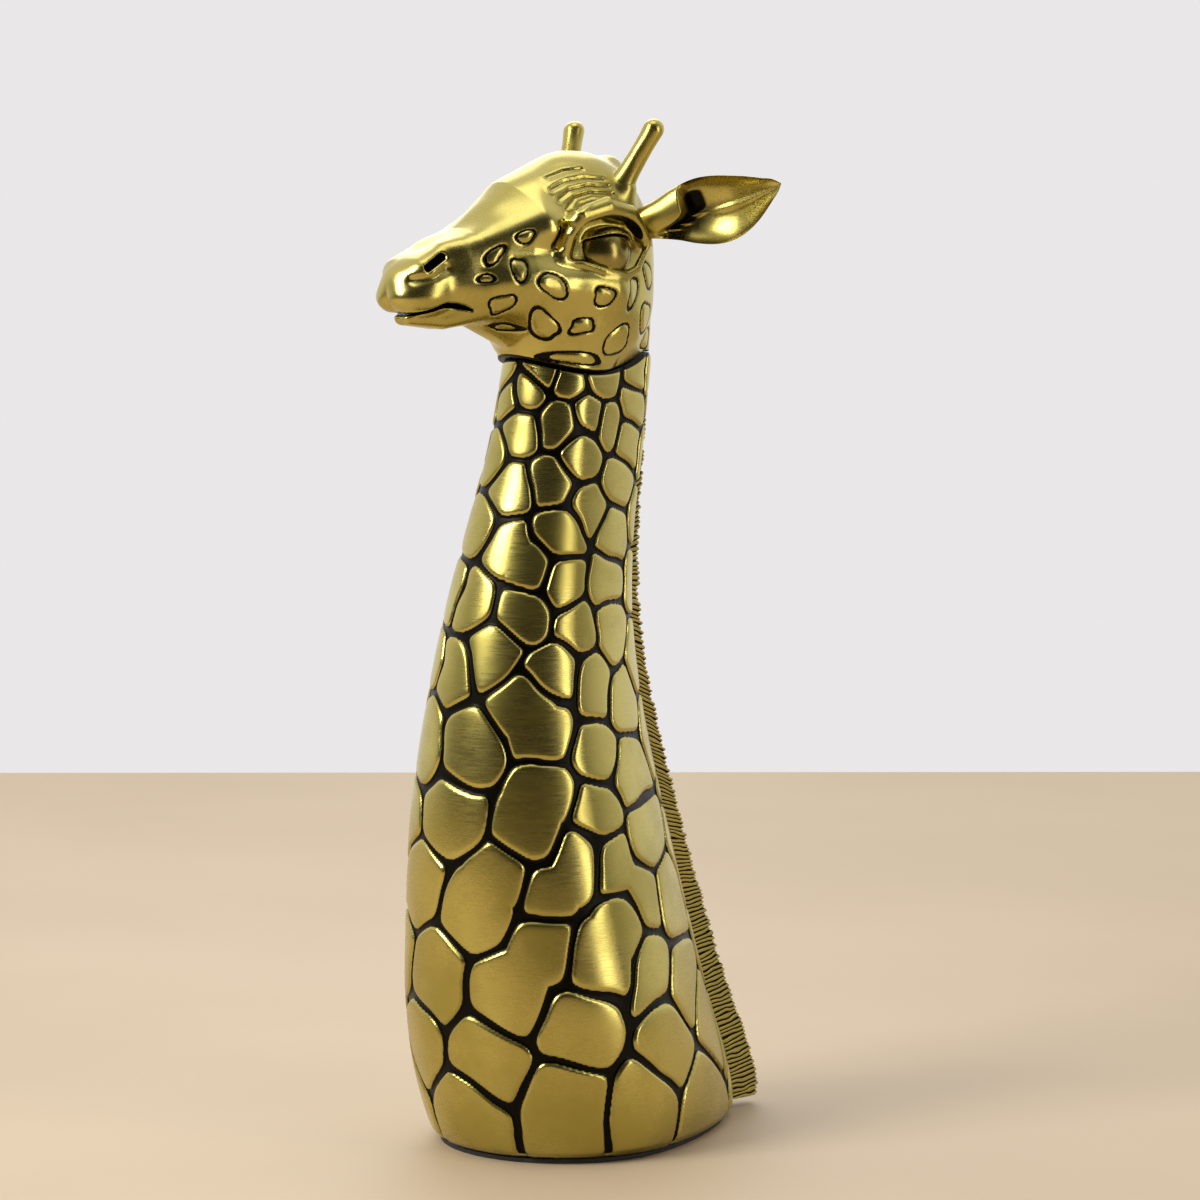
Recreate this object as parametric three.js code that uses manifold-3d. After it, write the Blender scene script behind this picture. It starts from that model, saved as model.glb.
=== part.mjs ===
// Giraffe head-and-neck statue: hollow castings with an antique brass finish, pinned together over a closed base.
// Millimetres, +Z up. The giraffe faces -Y, its left side is +X, and the origin is the middle of the underside.
import * as THREE from "three";
import { mergeVertices } from "three/addons/utils/BufferGeometryUtils.js";
import Module from "manifold-3d";

const wasm = await Module();
wasm.setup();

// ---- Driving dimensions ----

const GAP = 0.3; // between any two pieces that touch
const SLIVER = 0.02; // thinnest triangle a cut may leave

// Neck. A station holds the height as a share of NECK_HEIGHT, the radius of the round front, how far
// forward that round's centre lies, and how far back the flanks meet.
const NECK_HEIGHT = 262;
const NECK_STATIONS = [
  { at: 0.0, radius: 43.5, centre: -4.5, back: 65.5 },
  { at: 0.025, radius: 45.5, centre: -5.5, back: 66.5 },
  { at: 0.07, radius: 47.4, centre: -7.5, back: 64 },
  { at: 0.17, radius: 47.6, centre: -12.2, back: 54.5 },
  { at: 0.29, radius: 43.6, centre: -17.2, back: 45 },
  { at: 0.43, radius: 38.2, centre: -21.6, back: 34.5 },
  { at: 0.565, radius: 32, centre: -23, back: 25.5 },
  { at: 0.69, radius: 27, centre: -21, back: 21.2 },
  { at: 0.8, radius: 23, centre: -16.5, back: 22.5 },
  { at: 0.9, radius: 20, centre: -11.5, back: 26.5 },
  { at: 1.0, radius: 18.4, centre: -7.5, back: 29.8 },
];
const FLANK_POWER = 1.6; // how straight the flanks run back
const TAIL_HALF_WIDTH = 7.2; // where the flanks meet behind
const NECK_WALL = 4.5;
const BACK_WALL = 11; // thicker behind, where the mane is let in

// Spigot on top of the neck, which the head drops over, and the dowels that stop it turning
const SPIGOT_INSET = 4.2;
const SPIGOT_WALL = 3;
const SPIGOT_HEIGHT = 9;
const DOWEL_RADIUS = 1.5;
const DOWEL_LENGTH = 5.5;

// Underside: a felt pad covers the rim and the plate that closes the hollow
const FELT_THICKNESS = 1.5;
const FELT_MARGIN = 2;
const PLATE_THICKNESS = 4;
const SCREW_SHANK = { radius: 1.5, length: 9 };
const SCREW_HEAD = { radius: 3, height: 1.9 };
const BOSS_RADIUS = 9;
const BOSS_INSET = 5.2; // its axis, in from the inside of the wall
const BOSS_HEIGHT = 11;

// Mane: a tapered strip let into the back of the neck
const MANE_ROOT_HALF_WIDTH = 4.2;
const MANE_TIP_HALF_WIDTH = 2.4;
const MANE_SLOT_DEPTH = 2.5;
const MANE_STATIONS = [
  { at: 0.0, proud: 15.5 },
  { at: 0.08, proud: 15 },
  { at: 0.29, proud: 11.5 },
  { at: 0.565, proud: 8.5 },
  { at: 0.8, proud: 5.5 },
  { at: 0.95, proud: 2.6 },
  { at: 1.0, proud: 1.5 },
];
const MANE_BOTTOM = 2.5;
const MANE_TOP_CLEARANCE = 3; // below the head joint
const MANE_PIN = { radius: 1.25, length: 8 };
const MANE_PIN_HEIGHTS = [0.12, 0.46, 0.8]; // shares of NECK_HEIGHT

// Head, in a frame whose origin is on the joint with the neck. A station is a cross-section at one Y.
const HEAD_STATIONS = [
  { y: -79, halfWidth: 3.5, top: 30.5, bottom: 21 },
  { y: -77, halfWidth: 9, top: 34.5, bottom: 16 },
  { y: -71, halfWidth: 12.6, top: 38, bottom: 12.5 },
  { y: -61, halfWidth: 13.6, top: 42, bottom: 11 },
  { y: -49, halfWidth: 13.4, top: 47, bottom: 11 },
  { y: -38, halfWidth: 15.5, top: 54, bottom: 9.5 },
  { y: -27, halfWidth: 19, top: 64, bottom: 5 },
  { y: -14, halfWidth: 22.5, top: 72.5, bottom: 1 },
  { y: 0, halfWidth: 24, top: 72, bottom: 0 },
  { y: 13, halfWidth: 22.5, top: 68, bottom: 0 },
  { y: 23, halfWidth: 19, top: 61, bottom: 0 },
  { y: 30, halfWidth: 12.5, top: 50, bottom: 3 },
  { y: 32.5, halfWidth: 4, top: 36, bottom: 14 },
];
const HEAD_SQUARENESS = 2.3; // superellipse power of a cross-section
const HEAD_WALL = 7;
const HEAD_HOLLOW = { front: -36, back: 22 };
const COLLAR_HEIGHT = 24; // the part of the head that carries on the line of the neck

const EYE = { radius: 8.8, x: 18, y: -4, z: 38 };
const EYELID_THICKNESS = 1.6;
const BROW = { x: 20.5, y: -5, z: 50, width: 8, length: 17, height: 9.5, drop: 0.18 };
const NOSTRIL = { x: 10.5, y: -65.5, z: 35.5, radius: 1.3, length: 7, slope: 0.75 };
const MOUTH = { depth: 2.2, height: 0.9, corner: -53, z: 17.5, rise: 2.5 };

const HORN = { radius: 4.1, flare: 1.3, length: 26, x: 14.6, y: 8.6, z: 59, splay: 0.36, rake: 0.34 };
const HORN_PIN = { radius: 1.25, length: 12, depth: 3.5 };

const EAR = {
  length: 53,
  halfWidth: 13,
  stem: 5.4,
  rim: 1.5,
  cup: 7.5,
  x: 16,
  y: 14.5,
  z: 47,
  sweep: 0.58, // turn towards the back
  lift: 0.3, // turn upwards
  roll: 0.1,
};
const EAR_PIN = { radius: 1.25, length: 12, depth: 3.5 };

const CREST_PATH = [
  { y: 11, z: 69.6 },
  { y: 20, z: 64.4 },
  { y: 27.5, z: 56 },
  { y: 31.6, z: 44 },
  { y: 32.4, z: 30 },
  { y: 30.6, z: 16 },
  { y: 29.4, z: 4.5 },
];
const CREST = { halfWidth: 2.8, proud: 3, depth: 2.6 };

// ---- Materials ----

function metal(colour, roughness) {
  return new THREE.MeshStandardMaterial({ color: colour, roughness, metalness: 1 });
}

const BRASS = metal(0xc0a850, 0.34);
const DARK_BRASS = metal(0x5c5026, 0.45);
const STEEL = metal(0x9a9a98, 0.35);
const PLATE = new THREE.MeshStandardMaterial({ color: 0x2a2a2a, roughness: 0.7, metalness: 0 });
const FELT = new THREE.MeshStandardMaterial({ color: 0x1d1d1d, roughness: 0.95, metalness: 0 });

// ---- Solids ----

// The manifold-3d solid of a closed three.js geometry.
function solid(geometry) {
  const bare = geometry.clone();
  bare.deleteAttribute("normal");
  bare.deleteAttribute("uv");
  const merged = mergeVertices(bare, 1e-4);
  return new wasm.Manifold(
    new wasm.Mesh({
      numProp: 3,
      vertProperties: merged.attributes.position.array,
      triVerts: new Uint32Array(merged.index.array),
    }),
  );
}

// The geometry of a cut or joined solid, without the slivers that cuts leave.
function geometryOf(body) {
  const mesh = body.simplify(SLIVER).getMesh();
  const geometry = new THREE.BufferGeometry();
  geometry.setAttribute("position", new THREE.BufferAttribute(mesh.vertProperties, 3));
  geometry.setIndex(new THREE.BufferAttribute(mesh.triVerts, 1));
  geometry.computeVertexNormals();
  return geometry;
}

// A closed tube whose vertices are put in place by point(angle, along, share): angle runs round the
// tube, along from 0 to 1 up it, and share is 0 at the middle of an end cap and 1 on the wall.
function shapedTube(sides, rows, point) {
  const tube = new THREE.CylinderGeometry(1, 1, 1, sides, rows);
  const position = tube.attributes.position;
  for (let i = 0; i < position.count; i++) {
    const [x, y, z] = [position.getX(i), position.getY(i), position.getZ(i)];
    const p = point(Math.atan2(x, z), y + 0.5, Math.min(1, Math.hypot(x, z)));
    position.setXYZ(i, p.x, p.y, p.z);
  }
  return tube;
}

// A round bar along +Z from z = 0.
function bar(radius, length, sides = 16) {
  return new THREE.CylinderGeometry(radius, radius, length, sides)
    .rotateX(Math.PI / 2)
    .translate(0, 0, length / 2);
}

// A smooth value between stations, by the key that places them.
function between(stations, key, at, name) {
  const last = stations.length - 1;
  let i = 0;
  while (i < last - 1 && at > stations[i + 1][key]) i++;
  const before = stations[Math.max(0, i - 1)];
  const after = stations[Math.min(last, i + 2)];
  const [a, b] = [stations[i], stations[i + 1]];
  const width = b[key] - a[key];
  const t = THREE.MathUtils.clamp((at - a[key]) / width, 0, 1);
  const slopeA = ((b[name] - before[name]) / (b[key] - before[key])) * width;
  const slopeB = ((after[name] - a[name]) / (after[key] - a[key])) * width;
  return (
    a[name] * (1 + 2 * t) * (1 - t) ** 2 +
    slopeA * t * (1 - t) ** 2 +
    b[name] * t * t * (3 - 2 * t) +
    slopeB * t * t * (t - 1)
  );
}

// ---- Neck ----

const RIM = FELT_THICKNESS + GAP; // height of the neck's lower rim

function neckValue(z, name) {
  return between(NECK_STATIONS, "at", z / NECK_HEIGHT, name);
}

// A point of the neck's cross-section at height z, moved in from the skin by inset: a round front,
// flanks that close towards the back, and a narrow rounded tail.
function neckPoint(z, angle, share = 1, inset = 0, backInset = inset) {
  const radius = neckValue(z, "radius") - inset;
  const centre = neckValue(z, "centre");
  const length = neckValue(z, "back") - centre - backInset;
  const tail = Math.max(0.8, TAIL_HALF_WIDTH - inset);
  const back = Math.max(0, -Math.cos(angle));
  const side = Math.sign(Math.sin(angle));
  let x = radius * Math.sin(angle);
  let y = centre - radius * Math.cos(angle);
  if (back > 0) {
    const flank = (radius - tail) * (1 - back ** FLANK_POWER) ** 0.9;
    x = side * (flank + tail * Math.sqrt(1 - back ** 12));
    y = centre + length * back;
  }
  return new THREE.Vector3(x * share, centre + (y - centre) * share, z);
}

// A level slab on the rim, with the outline the neck has there.
function neckSlab(inset, backInset, depth) {
  const points = [];
  const sides = 48;
  for (let i = 0; i < sides; i++) {
    const p = neckPoint(RIM, (i / sides) * 2 * Math.PI, 1, inset, backInset);
    points.push(new THREE.Vector2(p.x, p.y));
  }
  const slab = new THREE.ExtrudeGeometry(new THREE.Shape(points), { depth, bevelEnabled: false });
  return solid(slab.translate(0, 0, RIM));
}

function neckTube(bottom, top, rows, sides, inset, backInset = inset) {
  return solid(
    shapedTube(sides, rows, (angle, along, share) => {
      const z = bottom + along * (top - bottom);
      return neckPoint(z, angle, share, inset, backInset);
    }),
  );
}

// A spigot keeps the neck's top outline straight up above the joint.
function spigotTube(bottom, top, inset) {
  const tube = shapedTube(48, 1, (angle, along, share) => {
    const p = neckPoint(NECK_HEIGHT, angle, share, inset);
    return p.setZ(bottom + along * (top - bottom));
  });
  return solid(tube);
}

// Bosses stand against the wall, at these angles from the front.
const BOSS_ANGLES = [0, 115, -115].map(THREE.MathUtils.degToRad);

function bossPlace(angle) {
  const p = neckPoint(RIM, angle, 1, NECK_WALL + BOSS_INSET, BACK_WALL + BOSS_INSET);
  return p.setZ(RIM + 1);
}

function boss(angle) {
  const place = bossPlace(angle);
  return solid(bar(BOSS_RADIUS, BOSS_HEIGHT).translate(place.x, place.y, place.z));
}

function screwHole(angle, radius, from, length) {
  const place = bossPlace(angle);
  return solid(bar(radius, length).translate(place.x, place.y, from));
}

// ---- Mane ----

function manePart(grow) {
  const bottom = MANE_BOTTOM - grow;
  const top = NECK_HEIGHT - MANE_TOP_CLEARANCE + grow;
  const root = MANE_ROOT_HALF_WIDTH + grow;
  const tip = MANE_TIP_HALF_WIDTH + grow;
  const place = (angle, along, share) => {
    const z = bottom + along * (top - bottom);
    const skin = neckValue(z, "back");
    const proud = between(MANE_STATIONS, "at", z / NECK_HEIGHT, "proud") + grow;
    const inner = skin - MANE_SLOT_DEPTH - grow;
    const outer = skin + proud;
    // The angle picks one of eight places round a tapered strip with a rounded edge.
    const across = Math.sin(angle);
    const outwards = (1 - Math.cos(angle)) / 2;
    const half = THREE.MathUtils.lerp(root, tip, outwards ** 2);
    const corner = Math.max(Math.abs(across), Math.abs(Math.cos(angle)));
    const middle = (inner + outer) / 2;
    const y = inner + (outer - inner) * (0.5 - Math.cos(angle) / corner / 2);
    return new THREE.Vector3(((across / corner) * half) * share, middle + (y - middle) * share, z);
  };
  return solid(shapedTube(8, 30, place));
}

function manePin(height) {
  const z = height * NECK_HEIGHT;
  const seat = neckValue(z, "back") - MANE_SLOT_DEPTH;
  return { z, from: seat - MANE_PIN.length / 2 - GAP / 2 };
}

function manePinBar(height, radius, extra = 0) {
  const { z, from } = manePin(height);
  return bar(radius, MANE_PIN.length + 2 * extra)
    .rotateX(-Math.PI / 2)
    .translate(0, from - extra, z);
}

// ---- Head ----

const HEAD_BASE = NECK_HEIGHT + GAP; // the head's own frame starts here

function headPoint(y, angle, share = 1, inset = 0) {
  const value = (name) => between(HEAD_STATIONS, "y", y, name);
  const top = value("top") - inset;
  const bottom = value("bottom") + inset;
  const half = Math.max(0.5, value("halfWidth") - inset);
  const middle = (top + bottom) / 2;
  const power = 2 / HEAD_SQUARENESS;
  const x = half * Math.sign(Math.sin(angle)) * Math.abs(Math.sin(angle)) ** power;
  const z = ((top - bottom) / 2) * Math.sign(Math.cos(angle)) * Math.abs(Math.cos(angle)) ** power;
  return new THREE.Vector3(x * share, y, middle + z * share);
}

function headTube(front, back, rows, sides, inset) {
  return solid(
    shapedTube(sides, rows, (angle, along, share) =>
      headPoint(front + along * (back - front), angle, share, inset),
    ),
  );
}

// A ball stretched to three half-sizes.
function ellipsoid(x, y, z, detail = 16) {
  return new THREE.SphereGeometry(1, detail, detail / 2).scale(x, y, z);
}

function eyeBall(side, radius, detail = 16) {
  const ball = new THREE.SphereGeometry(radius, detail, detail / 2);
  return ball.translate(side * EYE.x, EYE.y, EYE.z);
}

function brow(side) {
  return ellipsoid(BROW.width, BROW.length, BROW.height)
    .rotateX(BROW.drop)
    .translate(side * BROW.x, BROW.y, BROW.z);
}

function nostril(side) {
  return ellipsoid(NOSTRIL.radius * 2, NOSTRIL.length / 2, NOSTRIL.radius, 12)
    .rotateX(NOSTRIL.slope)
    .translate(side * NOSTRIL.x, NOSTRIL.y, NOSTRIL.z);
}

// The slit between the lips: a curved blade that bites MOUTH.depth into the muzzle all round its front.
function mouth() {
  const front = HEAD_STATIONS[0].y;
  const blade = shapedTube(24, 8, (angle, along, share) => {
    const y = front - 1 + along * (MOUTH.corner - front + 1);
    const half = (between(HEAD_STATIONS, "y", y, "halfWidth") + 1) * Math.sin(angle);
    const z = MOUTH.z + MOUTH.rise * Math.sin(along * Math.PI * 0.75);
    return new THREE.Vector3(half * share, y, z + (MOUTH.height / 2) * Math.cos(angle) * share);
  });
  const core = headTube(front + MOUTH.depth, MOUTH.corner + 1, 8, 16, MOUTH.depth);
  return solid(blade.scale(1, 1, 1)).subtract(core);
}

// Horns lean out by splay and back by rake from the top of the skull.
function hornPlace(side) {
  return new THREE.Matrix4()
    .makeTranslation(side * HORN.x, HORN.y, HORN.z)
    .multiply(new THREE.Matrix4().makeRotationY(side * HORN.splay))
    .multiply(new THREE.Matrix4().makeRotationX(-HORN.rake));
}

function horn(side, grow = 0) {
  const radius = HORN.radius + grow;
  const top = HORN.length + grow;
  const points = [new THREE.Vector2(0, -grow), new THREE.Vector2(radius + HORN.flare, -grow)];
  points.push(new THREE.Vector2(radius + HORN.flare * 0.5, HORN.length * 0.35));
  const steps = 6;
  for (let i = 0; i <= steps; i++) {
    const a = (i / steps) * (Math.PI / 2);
    const y = top - radius + radius * Math.sin(a);
    points.push(new THREE.Vector2(i === steps ? 0 : radius * Math.cos(a), y));
  }
  return new THREE.LatheGeometry(points, 20).rotateX(Math.PI / 2).applyMatrix4(hornPlace(side));
}

function hornPin(side, radius, extra = 0) {
  const from = -HORN_PIN.depth - extra;
  const pin = bar(radius, HORN_PIN.length + 2 * extra).translate(0, 0, from);
  return pin.applyMatrix4(hornPlace(side));
}

// An ear grows along its own +Z from the skull, and its hollow faces forwards.
function earPlace(side) {
  const outwards = new THREE.Matrix4().makeRotationY((side * Math.PI) / 2 - side * EAR.lift);
  const back = new THREE.Matrix4().makeRotationZ(side * EAR.sweep);
  const roll = new THREE.Matrix4().makeRotationZ(side * EAR.roll);
  return new THREE.Matrix4()
    .makeTranslation(side * EAR.x, EAR.y, EAR.z)
    .multiply(back)
    .multiply(outwards)
    .multiply(roll);
}

// Across the ear at a share t of its length: half its width, how deep its hollow is, half its thickness.
function earShape(t) {
  const leaf = Math.sin(Math.PI * THREE.MathUtils.clamp((t - 0.04) / 0.96, 0, 1) ** 0.8);
  const open = THREE.MathUtils.smoothstep(t, 0.12, 0.42);
  const tip = 1 - THREE.MathUtils.smoothstep(t, 0.55, 1);
  return {
    half: Math.max(EAR.stem * (1 - t) ** 0.5, EAR.halfWidth * leaf ** 0.85, EAR.rim),
    hollow: EAR.cup * open * tip,
    thick: THREE.MathUtils.lerp(EAR.stem, EAR.rim, open),
  };
}

function ear(side, grow = 0) {
  const length = EAR.length + 2 * grow;
  const leaf = shapedTube(24, 18, (angle, along, share) => {
    const { half, hollow, thick } = earShape(along);
    const across = (half + grow) * Math.cos(angle) * share;
    const spine = hollow * (1 - (Math.cos(angle) * share) ** 2);
    const through = spine + (thick + grow) * Math.sin(angle) * share;
    return new THREE.Vector3(across, through, along * length - grow);
  });
  return leaf.applyMatrix4(earPlace(side));
}

function earPin(side, radius, extra = 0) {
  const from = -EAR_PIN.depth - extra;
  const pin = bar(radius, EAR_PIN.length + 2 * extra).translate(0, 0, from);
  return pin.applyMatrix4(earPlace(side));
}

// Crest: a low strip that follows the back of the skull from between the horns to the joint.
function crest(grow) {
  const path = new THREE.CatmullRomCurve3(CREST_PATH.map((p) => new THREE.Vector3(0, p.y, p.z)));
  const strip = shapedTube(8, 22, (angle, along, share) => {
    const centre = path.getPoint(along);
    const tangent = path.getTangent(along);
    const out = new THREE.Vector3(0, -tangent.z, tangent.y);
    const corner = Math.max(Math.abs(Math.sin(angle)), Math.abs(Math.cos(angle)));
    const across = (Math.sin(angle) / corner) * (CREST.halfWidth + grow);
    const level = Math.cos(angle) / corner;
    const fade = Math.sin(Math.PI * THREE.MathUtils.clamp(along * 0.9 + 0.08, 0, 1)) ** 0.4;
    const lift = level > 0 ? level * (CREST.proud * fade + grow) : level * (CREST.depth + grow);
    const end = along === 0 ? -grow : along === 1 ? grow : 0;
    return centre
      .clone()
      .addScaledVector(tangent, end)
      .addScaledVector(out, lift * share)
      .add(new THREE.Vector3(across * share, 0, 0));
  });
  return solid(strip);
}

const raised = (body) => body.translate(0, 0, HEAD_BASE);

// ---- Dowels in the joint between neck and head ----

// One dowel each side, level, through the spigot and into the collar of the head.
function dowel(side, radius, before = 0, after = 0) {
  const skin = neckPoint(NECK_HEIGHT, Math.PI / 2).x;
  const start = skin - SPIGOT_INSET - SPIGOT_WALL + GAP - before;
  const y = neckValue(NECK_HEIGHT, "centre");
  const z = NECK_HEIGHT + SPIGOT_HEIGHT / 2;
  const pin = bar(radius, DOWEL_LENGTH + before + after).rotateY(Math.PI / 2);
  pin.translate(start, y, z);
  return side > 0 ? pin : pin.rotateZ(Math.PI).translate(0, 2 * y, 0);
}

// The hole for it opens into the hollow.
function dowelHole(side) {
  return solid(dowel(side, DOWEL_RADIUS + GAP, SPIGOT_WALL, GAP));
}

// ---- Screws ----

function screw(angle) {
  const { x, y } = bossPlace(angle);
  const { radius, length } = SCREW_SHANK;
  const profile = [
    [0, 0],
    [SCREW_HEAD.radius, 0],
    [SCREW_HEAD.radius, SCREW_HEAD.height * 0.6],
    [radius, SCREW_HEAD.height],
    [radius, length - radius],
    [0, length],
  ].map(([r, h]) => new THREE.Vector2(r, h));
  return new THREE.LatheGeometry(profile, 16).rotateX(Math.PI / 2).translate(x, y, RIM + GAP);
}

// ---- Assembly ----

const statue = new THREE.Group();

function add(name, shape, material) {
  const geometry = shape.isBufferGeometry ? shape : geometryOf(shape);
  const mesh = new THREE.Mesh(geometry, material);
  mesh.name = name;
  statue.add(mesh);
}

const SIDES = [
  { name: "left", side: 1 },
  { name: "right", side: -1 },
];

function neckShell() {
  const top = NECK_HEIGHT + SPIGOT_HEIGHT;
  const skin = neckTube(RIM, NECK_HEIGHT, 24, 40, 0);
  const spigot = spigotTube(NECK_HEIGHT - 1, top, SPIGOT_INSET);
  const narrow = NECK_HEIGHT * 0.9;
  const hollow = neckTube(RIM - 1, narrow, 12, 24, NECK_WALL, BACK_WALL);
  const throat = spigotTube(narrow - 4, top + 1, SPIGOT_INSET + SPIGOT_WALL);
  const seatDepth = PLATE_THICKNESS + GAP;
  const seat = neckSlab(NECK_WALL, BACK_WALL, seatDepth + 1).translate(0, 0, -1);
  let body = skin.add(spigot).subtract(hollow).subtract(throat);
  for (const angle of BOSS_ANGLES) {
    const depth = SCREW_SHANK.length + GAP;
    body = body.add(boss(angle)).subtract(screwHole(angle, SCREW_SHANK.radius + GAP, RIM, depth));
  }
  body = body.subtract(seat).subtract(manePart(GAP));
  for (const height of MANE_PIN_HEIGHTS)
    body = body.subtract(solid(manePinBar(height, MANE_PIN.radius + GAP, GAP)));
  for (const { side } of SIDES) body = body.subtract(dowelHole(side));
  return body;
}

function headShell() {
  const [first, last] = [HEAD_STATIONS[0].y, HEAD_STATIONS[HEAD_STATIONS.length - 1].y];
  let body = headTube(first, last, 26, 24, 0);
  for (const { side } of SIDES) {
    const lids = eyeBall(side, EYE.radius + EYELID_THICKNESS);
    body = body.add(solid(brow(side))).add(solid(lids));
  }
  body = body.subtract(headTube(HEAD_HOLLOW.front, HEAD_HOLLOW.back, 10, 20, HEAD_WALL));
  for (const { side } of SIDES) {
    body = body
      .subtract(solid(eyeBall(side, EYE.radius + GAP)))
      .subtract(solid(nostril(side)))
      .subtract(solid(horn(side, GAP)))
      .subtract(solid(hornPin(side, HORN_PIN.radius + GAP, GAP)))
      .subtract(solid(ear(side, GAP)))
      .subtract(solid(earPin(side, EAR_PIN.radius + GAP, GAP)));
  }
  body = raised(body.subtract(mouth()));
  const collar = spigotTube(HEAD_BASE, HEAD_BASE + COLLAR_HEIGHT, 0);
  const socket = spigotTube(NECK_HEIGHT - 2, HEAD_BASE + SPIGOT_HEIGHT, SPIGOT_INSET - GAP);
  const throat = spigotTube(HEAD_BASE, HEAD_BASE + COLLAR_HEIGHT + 1, SPIGOT_INSET + SPIGOT_WALL);
  body = body.add(collar).subtract(raised(crest(GAP))).subtract(socket).subtract(throat);
  for (const { side } of SIDES) body = body.subtract(dowelHole(side));
  return body;
}

function mane() {
  let body = manePart(0);
  for (const height of MANE_PIN_HEIGHTS)
    body = body.subtract(solid(manePinBar(height, MANE_PIN.radius + GAP, GAP)));
  return body;
}

function basePlate() {
  let body = neckSlab(NECK_WALL + GAP, BACK_WALL + GAP, PLATE_THICKNESS);
  for (const angle of BOSS_ANGLES) {
    const sunk = SCREW_HEAD.height + 2 * GAP;
    body = body
      .subtract(screwHole(angle, SCREW_SHANK.radius + GAP, RIM - 1, PLATE_THICKNESS + 2))
      .subtract(screwHole(angle, SCREW_HEAD.radius + GAP, RIM - 1, sunk + 1));
  }
  return body;
}

function feltPad() {
  return neckSlab(FELT_MARGIN, FELT_MARGIN, FELT_THICKNESS).translate(0, 0, -RIM);
}

add("neck_shell", neckShell(), BRASS);
add("head_shell", headShell(), BRASS);
add("mane_strip", mane(), DARK_BRASS);
add("head_crest", raised(crest(0)), DARK_BRASS);
for (const { name, side } of SIDES) {
  const hornBody = solid(horn(side)).subtract(solid(hornPin(side, HORN_PIN.radius + GAP, GAP)));
  const earBody = solid(ear(side)).subtract(solid(earPin(side, EAR_PIN.radius + GAP, GAP)));
  add(`eye_${name}`, raised(solid(eyeBall(side, EYE.radius))), BRASS);
  add(`horn_${name}`, raised(hornBody), BRASS);
  add(`horn_pin_${name}`, raised(solid(hornPin(side, HORN_PIN.radius))), STEEL);
  add(`ear_${name}`, raised(earBody), BRASS);
  add(`ear_pin_${name}`, raised(solid(earPin(side, EAR_PIN.radius))), STEEL);
  add(`neck_dowel_${name}`, dowel(side, DOWEL_RADIUS), STEEL);
}
MANE_PIN_HEIGHTS.forEach((height, i) => {
  add(`mane_pin_${i + 1}`, manePinBar(height, MANE_PIN.radius), STEEL);
});
BOSS_ANGLES.forEach((angle, i) => add(`base_screw_${i + 1}`, screw(angle), STEEL));
add("base_plate", basePlate(), PLATE);
add("felt_pad", feltPad(), FELT);

export default statue;
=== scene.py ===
import math

import bpy
import numpy as np
from mathutils import Matrix, Vector


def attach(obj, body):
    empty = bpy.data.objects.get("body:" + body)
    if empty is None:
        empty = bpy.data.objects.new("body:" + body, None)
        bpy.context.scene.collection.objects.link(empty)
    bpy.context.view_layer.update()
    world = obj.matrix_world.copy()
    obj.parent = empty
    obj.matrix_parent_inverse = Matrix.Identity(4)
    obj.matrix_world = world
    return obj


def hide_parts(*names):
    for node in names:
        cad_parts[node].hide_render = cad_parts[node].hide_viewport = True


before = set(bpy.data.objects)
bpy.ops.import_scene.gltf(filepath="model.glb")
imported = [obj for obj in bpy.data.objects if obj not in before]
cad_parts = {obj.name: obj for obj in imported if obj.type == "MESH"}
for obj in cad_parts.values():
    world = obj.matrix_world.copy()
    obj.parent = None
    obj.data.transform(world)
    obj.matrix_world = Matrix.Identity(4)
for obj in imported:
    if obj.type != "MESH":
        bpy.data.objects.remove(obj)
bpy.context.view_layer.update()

MM = 0.001
NECK_HEIGHT = 262.0
HEAD_BASE = NECK_HEIGHT + 0.3  # the head's own frame starts here
RIM = 1.8  # height of the neck's lower edge above the felt's underside
SIDES = {"left": 1, "right": -1}


# ---- Small helpers ----


def clamp01(t):
    return np.clip(t, 0.0, 1.0)


def smoothstep(lo, hi, t):
    t = clamp01((t - lo) / (hi - lo))
    return t * t * (3 - 2 * t)


def smin(a, b, k):
    """The smaller of a and b, blended over about k where they meet."""
    h = clamp01(0.5 + 0.5 * (b - a) / k)
    return b + (a - b) * h - k * h * (1 - h)


def smax(a, b, k):
    return -smin(-a, -b, k)


def bell(distance, width):
    """1 at no distance, fading to almost nothing at twice the width."""
    return np.exp(-((distance / width) ** 2))


def lattice(p, seed):
    """A random value from -1 to 1 for each whole-number point."""
    q = p.astype(np.int64)
    n = q[..., 0] * 374761393 + q[..., 1] * 668265263 + q[..., 2] * 2147483647 + seed * 974634777
    n = (n ^ (n >> 13)) * 1274126177
    n = n ^ (n >> 16)
    return (n & 0xFFFF) / 32767.5 - 1.0


def noise(p, size, seed=0):
    """Smooth noise from -1 to 1, about one bump per size."""
    q = np.asarray(p, float) / size
    base = np.floor(q)
    f = q - base
    f = f * f * (3 - 2 * f)
    total = 0.0
    for i in (0, 1):
        for j in (0, 1):
            for k in (0, 1):
                w = np.abs(1 - i - f[..., 0]) * np.abs(1 - j - f[..., 1]) * np.abs(1 - k - f[..., 2])
                total = total + w * lattice(base + (i, j, k), seed)
    return total


def curve(points, t):
    """A smooth value through (t, value) points."""
    ts = np.array([p[0] for p in points], float)
    vs = np.array([p[1] for p in points], float)
    slope = np.gradient(vs, ts)
    t = np.clip(t, ts[0], ts[-1])
    i = np.clip(np.searchsorted(ts, t, side="right") - 1, 0, len(ts) - 2)
    width = ts[i + 1] - ts[i]
    u = (t - ts[i]) / width
    return (
        vs[i] * (1 + 2 * u) * (1 - u) ** 2
        + slope[i] * width * u * (1 - u) ** 2
        + vs[i + 1] * u * u * (3 - 2 * u)
        + slope[i + 1] * width * u * u * (u - 1)
    )


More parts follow.
